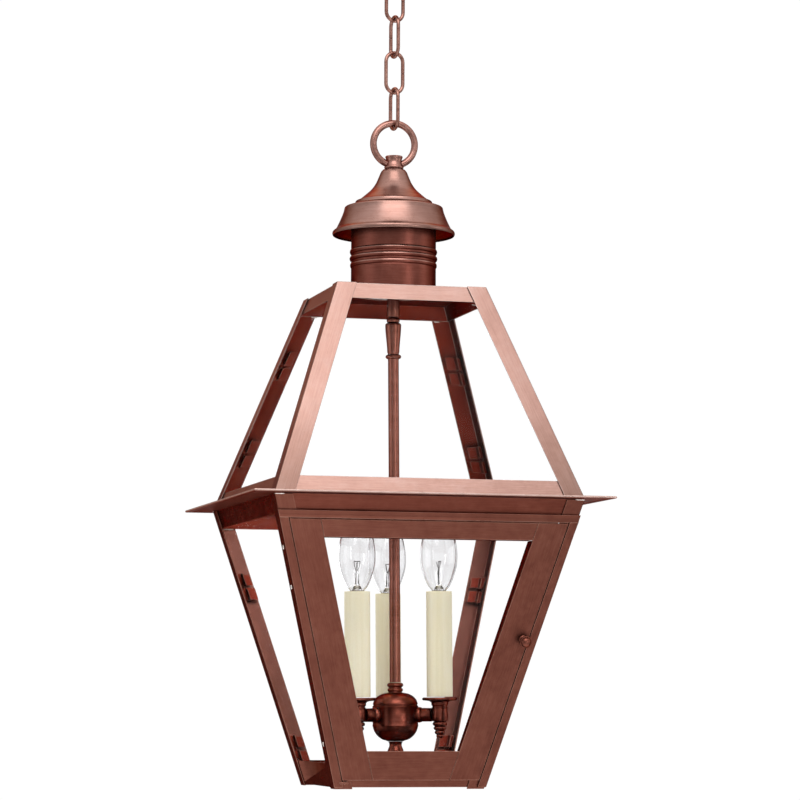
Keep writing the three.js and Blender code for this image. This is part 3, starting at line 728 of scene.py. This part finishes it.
# ---- body
DOOR_FOOT, DOOR_TOP = (corner.z for corner in local("door_stile_right"))
DOOR_BACK, DOOR_FRONT = 0.5, 2.7
LIP_TOP, LIP_FOOT = 13.5, 6.0
DOOR_EDGE, DOOR_OPENING = 8.2, 36.3
OPEN_TOP = local("door_rail_top")[0].z
OPEN_FOOT = local("door_rail_bottom")[1].z
PIN_INSET, PIN_RADIUS = 9.2, 0.8
LUG_FROM, LUG_TO, LUG_PROUD, LUG_HEIGHT = 5, 13, 3.3, 2.0
JAMB_TOP = local("door_jamb")[1].z
JAMB_HEAD, JAMB_WIDTH, JAMB_OVER, JAMB_PROUD = 6.7, 7.4, 0.6, 2.6
STOP_BACK, STOP_FRONT, STOP_DROP = -1.3, -0.1, 4.4
LOWER_LUG = DOOR_FOOT - 1.4 - LUG_HEIGHT


def pin_mesh(z0, z1):
    """A hinge pin, along the left edge of the door."""
    x, y = -(PLAN - PIN_INSET), -(PLAN + (DOOR_BACK + DOOR_FRONT) / 2)
    outline = [(x + PIN_RADIUS * cos(t), y + PIN_RADIUS * sin(t)) for t in circle(16)]
    return prism_mesh(outline, z0, z1, body_half)


# The front right post is whole here. Its CAD node has a notch that lets the latch through.
# The posts' inward faces take a darker copper: painted shade.
for place, (sx, sy) in CORNERS.items():
    outline = angle_outline(sx, sy, POST_FLANGE, 0.9)
    frame_sheet(f"post_bar_{place}", prism_mesh(outline, POST_FOOT, POST_TOP, body_half, 24),
                f"corner_post_{place}", BODY_COPPER, 0.3, "up", POST_INNER_SHADE)


def bar_mesh(x0, x1, y0, y1, z0, z1, steps=1):
    """A straight bar that leans with the body."""
    return prism_mesh([(x0, y0), (x1, y0), (x1, y1), (x0, y1)], z0, z1, body_half, steps)


def bottom_frame_mesh():
    """Three high rails and a low one under the door, joined at the corners."""
    top, low_top, foot = BODY_FOOT + 21.6, BODY_FOOT + 6.4, BODY_FOOT
    outer, inner = PLAN - RAIL_INSET, PLAN - RAIL_INSET - SHEET
    strips = [bar_mesh(-outer, outer, -outer, -inner, foot, low_top)]
    for sx in (-1, 1):
        outline = [(sx * outer, -inner), (sx * outer, inner), (sx * inner, inner),
                   (sx * inner, -inner)]
        strips.append(prism_mesh(outline, foot, top, body_half))
    return merge(*strips, bar_mesh(-outer, outer, outer, inner, foot, top))


frame_sheet("bottom_frame_rails", bottom_frame_mesh(), "bottom_frame", BODY_COPPER)
make("bottom_sheet", box_mesh(*local("bottom_plate")), "lantern_frame", BODY_COPPER,
     ("bottom_plate",), grain="level", bevel=0.25)


# ---- door
def front_strip(x0, x1, z0, z1, back=DOOR_BACK, front=DOOR_FRONT, steps=12):
    return bar_mesh(x0, x1, -PLAN - front, -PLAN - back, z0, z1, steps)


def jamb_mesh():
    """The strips that frame the door, the stop behind its top, and the lug of its lower hinge."""
    outer, inner = PLAN + JAMB_OVER, PLAN - JAMB_WIDTH
    stop, head_foot = PLAN - POST_FLANGE - 0.5, JAMB_TOP - JAMB_HEAD
    return merge(front_strip(-stop, stop, head_foot, JAMB_TOP, STOP_BACK, 0.4, 1),
                 front_strip(-stop, stop, head_foot - STOP_DROP, head_foot + 0.1, STOP_BACK,
                             STOP_FRONT, 1),
                 front_strip(-outer, -inner, BODY_FOOT, head_foot, 0.3, JAMB_PROUD, 24),
                 front_strip(inner, outer, BODY_FOOT, head_foot, 0.3, JAMB_PROUD, 24),
                 front_strip(-outer, outer, head_foot, JAMB_TOP, 0.3, JAMB_PROUD, 2),
                 front_strip(-PLAN + LUG_FROM, -PLAN + LUG_TO, LOWER_LUG, LOWER_LUG + LUG_HEIGHT,
                             0.3, LUG_PROUD, 1))


frame_sheet("door_frame_strips", jamb_mesh(), "door_jamb", BODY_COPPER, 0.35, "up")

stile_out, stile_in = PLAN - DOOR_EDGE, PLAN - DOOR_OPENING


def lip_strip(x0, x1, z0, z1, steps=12):
    """The fold along the opening, deeper at the top."""
    verts, faces = front_strip(x0, x1, z0, z1, -0.1, DOOR_BACK + 0.2, steps)
    deeper = (LIP_TOP - LIP_FOOT) / (OPEN_TOP - OPEN_FOOT)
    verts = [(x, y + (LIP_FOOT + deeper * (z - OPEN_FOOT) if y > -body_half(z) else 0), z)
             for x, y, z in verts]
    return verts, faces


rail_end = stile_in - 0.2
DOOR_PIECES = {
    "door_stile_hinge_side": ("door_stile_left", "up", merge(
        front_strip(-stile_out, -stile_in, DOOR_FOOT, DOOR_TOP),
        lip_strip(-stile_in - SHEET, -stile_in, OPEN_FOOT, OPEN_TOP),
        pin_mesh(DOOR_TOP - 4, JAMB_TOP - JAMB_HEAD + 3),
        pin_mesh(LOWER_LUG - 0.6, DOOR_FOOT + 4))),
    "door_stile_latch_side": ("door_stile_right", "up", merge(
        front_strip(stile_in, stile_out, DOOR_FOOT, DOOR_TOP),
        lip_strip(stile_in, stile_in + SHEET, OPEN_FOOT, OPEN_TOP))),
    "door_rail_upper": ("door_rail_top", "level", merge(
        front_strip(-rail_end, rail_end, OPEN_TOP, DOOR_TOP, steps=1),
        lip_strip(-rail_end, rail_end, OPEN_TOP, OPEN_TOP + SHEET, 1))),
    "door_rail_lower": ("door_rail_bottom", "level", merge(
        front_strip(-rail_end, rail_end, DOOR_FOOT, OPEN_FOOT, steps=1),
        lip_strip(-rail_end, rail_end, OPEN_FOOT - SHEET, OPEN_FOOT, 1))),
}
for name, (cad, grain, shape) in DOOR_PIECES.items():
    make(name, shape, "door", BODY_COPPER, (cad,), grain=grain, bevel=0.35,
         edge_wear_and_highlight=BODY_WEAR_AND_HIGHLIGHT, inner=INNER_SHADE_COPPER)

KNOB_Z, KNOB_INSET = -126.9, 13
outward = Vector((0, -1, -(body_half(0) - body_half(-100)) / 100)).normalized()
knob_turn = Vector((0, 0, 1)).rotation_difference(outward).to_matrix().to_4x4()
knob_place = Matrix.Translation((body_half(KNOB_Z) - KNOB_INSET, -body_half(KNOB_Z),
                                 KNOB_Z)) @ knob_turn


def knob_mesh():
    """A button on a waisted neck, turned in one piece with its foot and spindle.

    The spindle runs through the stile and the post, which have no hole for it here.
    """
    face = DOOR_FRONT
    spindle = [(0, -5.4), (2.4, -5.4), (2.7, -5.1), (2.7, -4.4), (1.5, -4.3), (1.5, face + 0.3)]
    foot = [(4.3, face + 0.3), (4.6, face + 0.6), (4.6, face + 1.1), (4.3, face + 1.5)]
    neck = smooth_run([(3.6, face + 1.9), (2.7, face + 3.0), (2.4, face + 4.2), (2.7, face + 5.4),
                       (3.6, face + 6.0)], 4)
    rim = (arc(4.9, face + 7.1, 0.8, -70, 0, 4) + [(5.7, face + 8.4)]
           + arc(5.1, face + 8.6, 0.6, 10, 80, 4))
    dome = [(4.8, face + 9.1)] + smooth_run([(4.6, face + 9.6), (3.7, face + 11.0),
                                             (2.2, face + 12.1), (0.9, face + 12.5)], 4)
    return moved(turned_mesh(spindle + foot + neck + rim + dome + [(0, face + 12.6)], 40),
                 knob_place)


make("turn_knob", knob_mesh(), "latch", BODY_COPPER, ("latch_knob",))

# ---- stem and cluster
nipple = turned_mesh([(0, 175.6), (5.2, 175.6)] + arc(5.35, 176.4, 0.5, -60, 0, 3)
                     + [(5.85, 195.6), (5.4, 196), (4, 196), (4, 204), (0, 204)], 40)
top_nut = turned_mesh([(4, 198.1), (7.1, 198.1), (7.5, 198.5), (7.5, 201.2), (7.1, 201.6),
                       (4, 201.6)], 6)
make("nipple_cover", merge(nipple, top_nut), "lantern_frame", STEM_COPPER, ("stem_nipple",))
shape = turned_mesh([(0, 170.4), (4.2, 170.4), (5.6, 170.8), (6.1, 171.6), (6.1, 173.8),
                     (5.5, 174.8), (4.6, 175.2), (0, 175.2)], 40)
make("swivel_ring", shape, "swivel", STEM_COPPER, ("swivel_collar",))
stem_outline = (
    [(0, -166), (4.8, -166), (5.05, -165.7), (5.05, 136)]
    + arc(5.5, 138.4, 1.85, -75, 75, 8) + [(5.2, 140.6), (5.2, 141.6)]
    + smooth_run([(5.7, 142.6), (5.9, 147), (6.5, 154), (7.3, 163), (7.5, 168)], 5)
    + [(7.3, 169.2), (6.4, 170), (0, 170)])
make("stem_rod", turned_mesh(stem_outline, 48), "light_cluster", STEM_COPPER, ("stem_tube",))

body_outline = ([(0, -220.3), (7.6, -220.3)]
                + smooth_run([(8.4, -219.8), (12.7, -218.4), (16.9, -215.1), (19.8, -210.8),
                              (21.1, -206.6)], 6)
                + [(21.3, -206.2), (21.3, -205.6), (21.1, -205.2), (21.1, -189.2), (21.3, -188.9),
                   (21.3, -188.0), (20.9, -187.6), (20.3, -187.3), (20.3, -186.7), (20.9, -186.3)]
                + smooth_run([(20.7, -185.0), (19.3, -181.7), (16.2, -178.6), (12.0, -176.5),
                              (8.0, -175.7)], 6) + [(6.4, -175.3)]
                + arc(5.5, -173.0, 1.75, -70, 70, 8) + [(5.9, -170.8)]
                + arc(5.7, -168.4, 1.85, -70, 70, 8) + [(5.2, -166.3), (0, -166.3)])
pieces = [turned_mesh(body_outline, 72)]
ARM_Z = -196
for candle in CANDLES:
    along = Matrix.Rotation(atan2(candle.y, candle.x), 4, "Z") @ Matrix.Rotation(pi / 2, 4, "Y")
    place = Matrix.Translation((0, 0, ARM_Z)) @ along
    reach = hypot(candle.x, candle.y) - 7.6
    arm = turned_mesh([(0, 14), (6.1, 14), (6.1, 20.9)] + arc(3.0, 23.9, 4.2, -42, 46, 8)
                      + [(6.1, 27.2), (6.3, 27.6), (6.2, reach - 0.4), (5.8, reach), (0, reach)],
                      32)
    pieces.append(moved(arm, place))
make("cluster_bowl", merge(*pieces), "light_cluster", CLUSTER_COPPER, ("cluster_body",))
finial_outline = ([(0, -220.6), (6.8, -220.6), (6.2, -221.6)]
                  + smooth_run([(5.8, -222.8), (5.8, -224.6), (6.6, -226.8), (7.3, -228.6),
                                (7.2, -230.2), (5.4, -231.8), (4.4, -232.8), (5.2, -234.2),
                                (5.3, -235.6), (4.2, -237.8), (2.2, -239.6)], 5) + [(0, -240)])
make("finial", turned_mesh(finial_outline, 40), "light_cluster", CLUSTER_COPPER,
     ("cluster_finial",))

# ---- candles
cup_outline = ([(0, -180.6), (13.6, -180.6), (14.6, -180.1)]
               + arc(14.9, -181.45, 1.35, 80, -80, 10)
               + smooth_run([(14.0, -182.9), (11.0, -183.2), (8.9, -183.9), (7.8, -185.2),
                             (7.8, -186.8), (7.3, -187.6)], 4)
               + [(6.8, -188.2), (6.8, -188.8), (7.45, -189.3), (7.45, -190.4), (7.3, -190.7),
                  (7.3, -191.1), (7.45, -191.4), (7.45, -201.0), (7.0, -201.7), (5.6, -202.2)]
               + arc(4.9, -204.3, 1.85, 75, -75, 7) + arc(4.0, -208.3, 1.85, 70, -70, 7)
               + arc(3.1, -212.2, 1.8, 65, -65, 7)
               + smooth_run([(3.0, -214.4), (3.5, -215.7), (2.3, -217.5)], 3) + [(0, -217.7)])
SLEEVE_TOP, SLEEVE_FOOT = -82.3, -179.5
sleeve_outline = ([(11.0, SLEEVE_FOOT), (12.0, SLEEVE_FOOT), (12.0, SLEEVE_TOP - 0.5)]
                  + arc(11.6, SLEEVE_TOP - 0.4, 0.4, 10, 90, 4)
                  + [(8.4, SLEEVE_TOP), (8.0, SLEEVE_TOP - 0.4), (8.0, SLEEVE_TOP - 1.2),
                     (11.0, SLEEVE_TOP - 1.4)])
socket_outline = [(0, -179.6), (5, -179.6), (5, -116.7), (6.6, -114.7), (7.4, -112.7), (7.4, -87.1),
                  (7.0, -86.7), (6.7, -86.7), (6.7, -110.7), (0, -110.7)]
envelope = smooth_run([(6.3, -84.7), (6.6, -81.5), (9.5, -78.1), (12.3, -72.6), (15.0, -65.2),
                       (16.8, -58), (17.3, -50.6), (16.9, -41.6), (15.2, -32.8), (12.4, -25),
                       (8.9, -18), (5.4, -12.4), (2.8, -9.8)], 6)
envelope += [(1.4, -8.9), (0.0, -8.6)]


def inner_wall(outline, wall):
    """The same outline drawn in by the glass's thickness, back to the neck."""
    inner = []
    for i, (r, z) in enumerate(outline):
        before, after = outline[max(i - 1, 0)], outline[min(i + 1, len(outline) - 1)]
        dr, dz = after[0] - before[0], after[1] - before[1]
        size = hypot(dr, dz) or 1
        inner.append((max(r - wall * dz / size, 0.0), z + wall * dr / size))
    inner[-1] = (0.0, outline[-1][1] - wall)
    return list(reversed(inner))


base_outline = ([(0, -109.7), (2.4, -109.7), (2.6, -108.7), (4.6, -107.7), (5.6, -106.1)]
                + [(5.6 + 0.35 * cos(pi * i), -105.7 + i * 1.45) for i in range(13)]
                + [(6.3, -87.3), (6.7, -86.4), (6.8, -81.9), (6.5, -81.5), (0, -81.5)])
FILAMENT_Z = -54.6


def bulb_inside(x, y, turn):
    """Glass stem, two lead wires, two supports and the coiled filament of one bulb."""
    stem = turned_mesh([(0, -81.2), (4.8, -81.2)]
                       + smooth_run([(4.3, -79.6), (2.6, -76), (1.7, -71), (1.5, -66)], 4)
                       + [(1.1, -63), (0.7, -62), (0, -61.8)], 20, (x, y))
    wires = [smooth_run([(side * 0.9, 0, -76), (side * 1.1, 0, -63), (side * 2.4, 0, -59),
                         (side * 3.1, 0, FILAMENT_Z)], 5) for side in (-1, 1)]
    wires += [[(0, 0, -63), (0.2, 1.3, -58), (0.3, 2.0, FILAMENT_Z + 0.4)],
              [(0, 0, -63), (-0.2, -1.3, -58.4), (-0.3, -2.0, FILAMENT_Z - 0.6)]]
    coil = []
    turns = 46
    for i in range(turns * 8 + 1):
        t = i / (turns * 8)
        across = -3.1 + 6.2 * t
        sag = 1.9 * sin(pi * t)
        coil.append((across, sag + 0.3 * cos(2 * pi * turns * t),
                     FILAMENT_Z + 0.3 * sin(2 * pi * turns * t)))
    place = Matrix.Translation((x, y, 0)) @ Matrix.Rotation(turn, 4, "Z")
    metal = [moved(tube_mesh(path, 0.3, 8), place) for path in wires]
    metal.append(moved(tube_mesh(coil, 0.11, 5), place))
    return stem, merge(*metal)


for i, candle in enumerate(CANDLES, 1):
    centre = (candle.x, candle.y)
    make(f"cup_and_pan_{i}", turned_mesh(cup_outline, 48, centre), "light_cluster", CLUSTER_COPPER,
         (f"candle_cup_{i}",))
    make(f"cream_sleeve_{i}", turned_mesh(sleeve_outline, 64, centre), "light_cluster", CREAM,
         (f"candle_sleeve_{i}",))
    make(f"lamp_socket_{i}", turned_mesh(socket_outline, 32, centre), "light_cluster", PHENOLIC,
         (f"candle_socket_{i}",))
    shell = turned_mesh(envelope + inner_wall(envelope, 0.7), 64, centre)
    make(f"bulb_shell_{i}", shell, "light_cluster", BULB_GLASS, (f"bulb_{i}",),
         sharp=70)
    stem, metal = bulb_inside(*centre, radians(40 + 75 * i))
    make(f"bulb_stem_{i}", stem, "light_cluster", BULB_GLASS)
    make(f"bulb_wires_{i}", metal, "light_cluster", WIRE)
    make(f"bulb_base_{i}", turned_mesh(base_outline, 40, centre), "light_cluster", BRASS)

# ---- glass clips and solder
CLIP_FOOT, CLIP_RISE, CLIP_END = 1.5, 7.0, 15.2  # places across a bar, measured from its corner
CLIP_DEPTH = 6.2  # the tabs lie this far behind the bar's outer face, on the pane


def clip_mesh(half, sx, sy, on_x, height):
    """A strip soldered inside a bar's fold, with two tabs bent over the edge of the pane."""
    inner = PLAN - SHEET
    parts = [((inner - 0.7, inner - 0.02), (CLIP_FOOT, CLIP_RISE), (-13, 13))]
    for z0, z1 in ((-12.6, -1.6), (1.6, 12.6)):
        reach = CLIP_END + seeds.uniform(-0.8, 0.6)
        parts.append(((PLAN - CLIP_DEPTH - 0.6, inner - 0.3), (CLIP_RISE - 0.6, CLIP_RISE),
                      (z0, z1)))
        parts.append(((PLAN - CLIP_DEPTH - 0.6, PLAN - CLIP_DEPTH), (CLIP_RISE - 0.3, reach),
                      (z0 + seeds.uniform(-0.8, 0.8), z1 + seeds.uniform(-0.8, 0.8))))
    meshes = []
    for (a, b), (across0, across1), (z0, z1) in parts:
        outline = [(a, PLAN - across0), (b, PLAN - across0), (b, PLAN - across1),
                   (a, PLAN - across1)]
        if on_x:
            outline = [(y, x) for x, y in outline]
        meshes.append(prism_mesh([(sx * x, sy * y) for x, y in outline], height + z0, height + z1,
                                 half))
    return merge(*meshes)


def clips(name, half, foot, top, parts, door_side):
    meshes = []
    for sx, sy in CORNERS.values():
        for on_x in (False, True):
            if on_x and sy < 0 and not door_side:
                continue  # the door is there
            for part in parts:
                meshes.append(clip_mesh(half, sx, sy, on_x, foot + (top - foot) * part))
    # The clips are darker copper, painted shade inside the lantern; their bevels are lighter,
    # rubbing and a painted highlight.
    make(name, merge(*meshes), "lantern_frame", INNER_SHADE_COPPER, grain="up", bevel=0.25,
         edge_wear_and_highlight=BODY_WEAR_AND_HIGHLIGHT)


clips("roof_clips", roof_half, HIP_FOOT, HIP_TOP, (0.265, 0.685), True)
clips("body_clips", body_half, POST_FOOT, POST_TOP, (0.13, 0.72), False)


def bead_mesh(x, y, z, length, size, along):
    """A run of solder: a lumpy little bead."""
    steps = 9
    path, radii = [], []
    for i in range(steps):
        t = i / (steps - 1) - 0.5
        path.append((x + along[0] * length * t, y + along[1] * length * t,
                     z + along[2] * length * t))
        radii.append(size * sqrt(max(1 - (2 * t) ** 4, 0.04)) * seeds.uniform(0.8, 1.15))
    return tube_mesh(path, radii, 10)


def solder():
    """Beads where the posts meet the eave and the foot, and specks along the side panes."""
    meshes = []
    reach, top = body_half(POST_TOP) - 4.4, roof_half(HIP_TOP) - 4
    under = body_half(band_low.z) - SHEET - 0.4
    foot = BODY_FOOT + 22.4
    inside = body_half(foot) - 3.2
    for sx, sy in CORNERS.values():
        back = sy > 0
        runs = [(sx * reach, sy * (body_half(POST_TOP) + 0.5), POST_TOP + 0.2, 9, 0.8, (1, 0, 0))]
        if back:
            runs.append((sx * (under - 7.5), under, band_low.z - 0.2, 11, 0.8, (1, 0, 0)))
        runs.append((sx * (inside - 5), sy * inside, foot, 8, 0.9, (1, 0, 0)))
        if back:
            runs.append((sx * inside, sy * (inside - 5), foot, 8, 0.9, (0, 1, 0)))
        runs.append((sx * (top - 6), sy * (top + 0.6), HIP_TOP - 16.5, 6, 0.8, (1, 0, 0)))
        meshes += [bead_mesh(*run) for run in runs]
    for z in (-48, -83, -222):
        edge = body_half(z)
        meshes.append(bead_mesh(-edge - 0.3, -edge + 7, z, 4, 1.0, (0.1, 0.1, -1)))
    return merge(*meshes)


make("solder_beads", solder(), "lantern_frame", TIN)

# ---- canopy
canopy_outline = ([(62.5, 0), (63.6, 0), (64, -0.4), (64, -2.6)]
                  + smooth_run([(63.6, -3.6), (61, -4.8), (56, -7), (44, -12.8), (30, -20.6),
                                (17, -26.8), (12, -29.2)], 5)
                  + [(10.5, -30), (5.5, -30), (5.5, -28.7), (10, -28.6)]
                  + smooth_run([(15.6, -25.8), (29, -19.2), (43, -11.4), (55, -5.6), (60, -3.4),
                                (62.4, -2.2)], 5))
make("canopy_dish", turned_mesh(canopy_outline, 96), "ceiling_canopy", BODY_COPPER, ("canopy",),
     zero=0, sharp=50)
LOOP_MID, LOOP_WIRE = 11.5, 2.25
loop_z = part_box("canopy_loop")[0].z / MM + LOOP_WIRE + LOOP_MID
eye = moved(ring_mesh(LOOP_MID, LOOP_WIRE, loop_z, 56, 16),
            Matrix.Rotation(radians(CHAIN_TURN), 4, "Z"))
thread = turned_mesh([(0, loop_z + LOOP_MID - 0.6), (4.6, loop_z + LOOP_MID - 0.6),
                      (4.8, loop_z + LOOP_MID), (4.8, -0.9), (4.4, -0.4), (0, -0.4)], 32)
make("canopy_eye", merge(eye, thread), "ceiling_canopy", CHAIN_COPPER, ("canopy_loop",), zero=0)
shape = turned_mesh([(5.1, -30.3), (9.6, -30.3), (10.3, -30.8)]
                    + smooth_run([(10.6, -32), (10.2, -34), (9, -35.8)], 4)
                    + [(8.4, -36.5), (5.1, -36.7)], 48)
make("canopy_ring_nut", shape, "ceiling_canopy", BODY_COPPER, ("canopy_collar",), zero=0)

# ---- CAD nodes that stay
KEPT = {"mounting_strap": STEEL, "latch_cam": BODY_COPPER}
KEPT.update({name: PANE_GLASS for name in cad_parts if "_glass" in name})
for name, material in KEPT.items():
    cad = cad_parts[name]
    cad.data.materials.clear()
    cad.data.materials.append(material)

# ---- stage, world and lights
FLOOR_DROP = 1.35  # metres from the lantern's foot to the floor


def make_stage():
    bpy.ops.mesh.primitive_plane_add(size=4, location=(0, 0, CAD_BOX[0][2] - FLOOR_DROP))
    floor = bpy.context.object
    floor.name = "floor"
    material = new_material("floor_paper", Base_Color=(0.86, 0.86, 0.86, 1), Roughness=0.8)[0]
    floor.data.materials.append(material)


def make_world():
    """White behind everything, and for reflections a sky that darkens downwards."""
    world = bpy.data.worlds.new("studio")
    world.use_nodes = True
    tree = world.node_tree
    background = tree.nodes["Background"]
    path = node(tree, "LightPath")
    seen = maths(tree, "MAXIMUM", path.outputs["Is Camera Ray"],
                 path.outputs["Is Transmission Ray"])
    direction = node(tree, "TexCoord").outputs["Generated"]
    height = maths(tree, "MULTIPLY_ADD", height_in(tree, direction), 0.5, 0.5)
    greys = [(0.0, 0.14), (0.2, 0.35), (0.3, 0.5), (0.42, 0.6), (0.55, 0.66), (0.7, 0.76),
             (0.85, 1.35), (0.95, 1.6), (1.0, 2.1)]
    sky = ramp(tree, height, [(place, (grey, grey, grey)) for place, grey in greys])
    tree.links.new(mix_colour(tree, seen, sky, (1.02, 1.02, 1.02)), background.inputs["Color"])
    bpy.context.scene.world = world


def area_light(name, place, size, power):
    """A rectangular light that looks at the middle of the eave."""
    data = bpy.data.lights.new(name, "AREA")
    data.shape = "RECTANGLE"
    data.size, data.size_y = size
    data.energy = power
    lamp = bpy.data.objects.new(name, data)
    bpy.context.scene.collection.objects.link(lamp)
    lamp.location = place
    lamp.rotation_euler = (Vector((0, 0, EAVE_Z))
                           - Vector(place)).to_track_quat("-Z", "Y").to_euler()


make_stage()
make_world()
LIGHTS = {  # each one's place, its height over the eave plane, its size and its watts
    "overhead": (-0.4, -1.9, 2.0, (2.4, 1.6), 39),
    "back_top": (0.4, 1.8, 1.9, (2.0, 1.2), 14),
    "left": (-2.3, -0.3, -0.1, (1.2, 1.6), 4.6),
    "right": (2.3, -0.6, 0.4, (1.0, 1.6), 5),
    "front_strip": (1.0, -2.0, 0.05, (0.3, 1.3), 6),
    "low_front": (0.0, -1.95, -0.85, (0.8, 0.5), 2.6),
    "back_high": (-0.45, 2.4, 0.7, (0.5, 0.5), 1.6),
    "back_left": (-0.65, 2.3, -0.35, (0.8, 1.2), 4.5),
}
for name, (x, y, rise, size, power) in LIGHTS.items():
    area_light(name, (x, y, EAVE_Z + rise), size, power)
bpy.context.scene.view_settings.view_transform = "Standard"
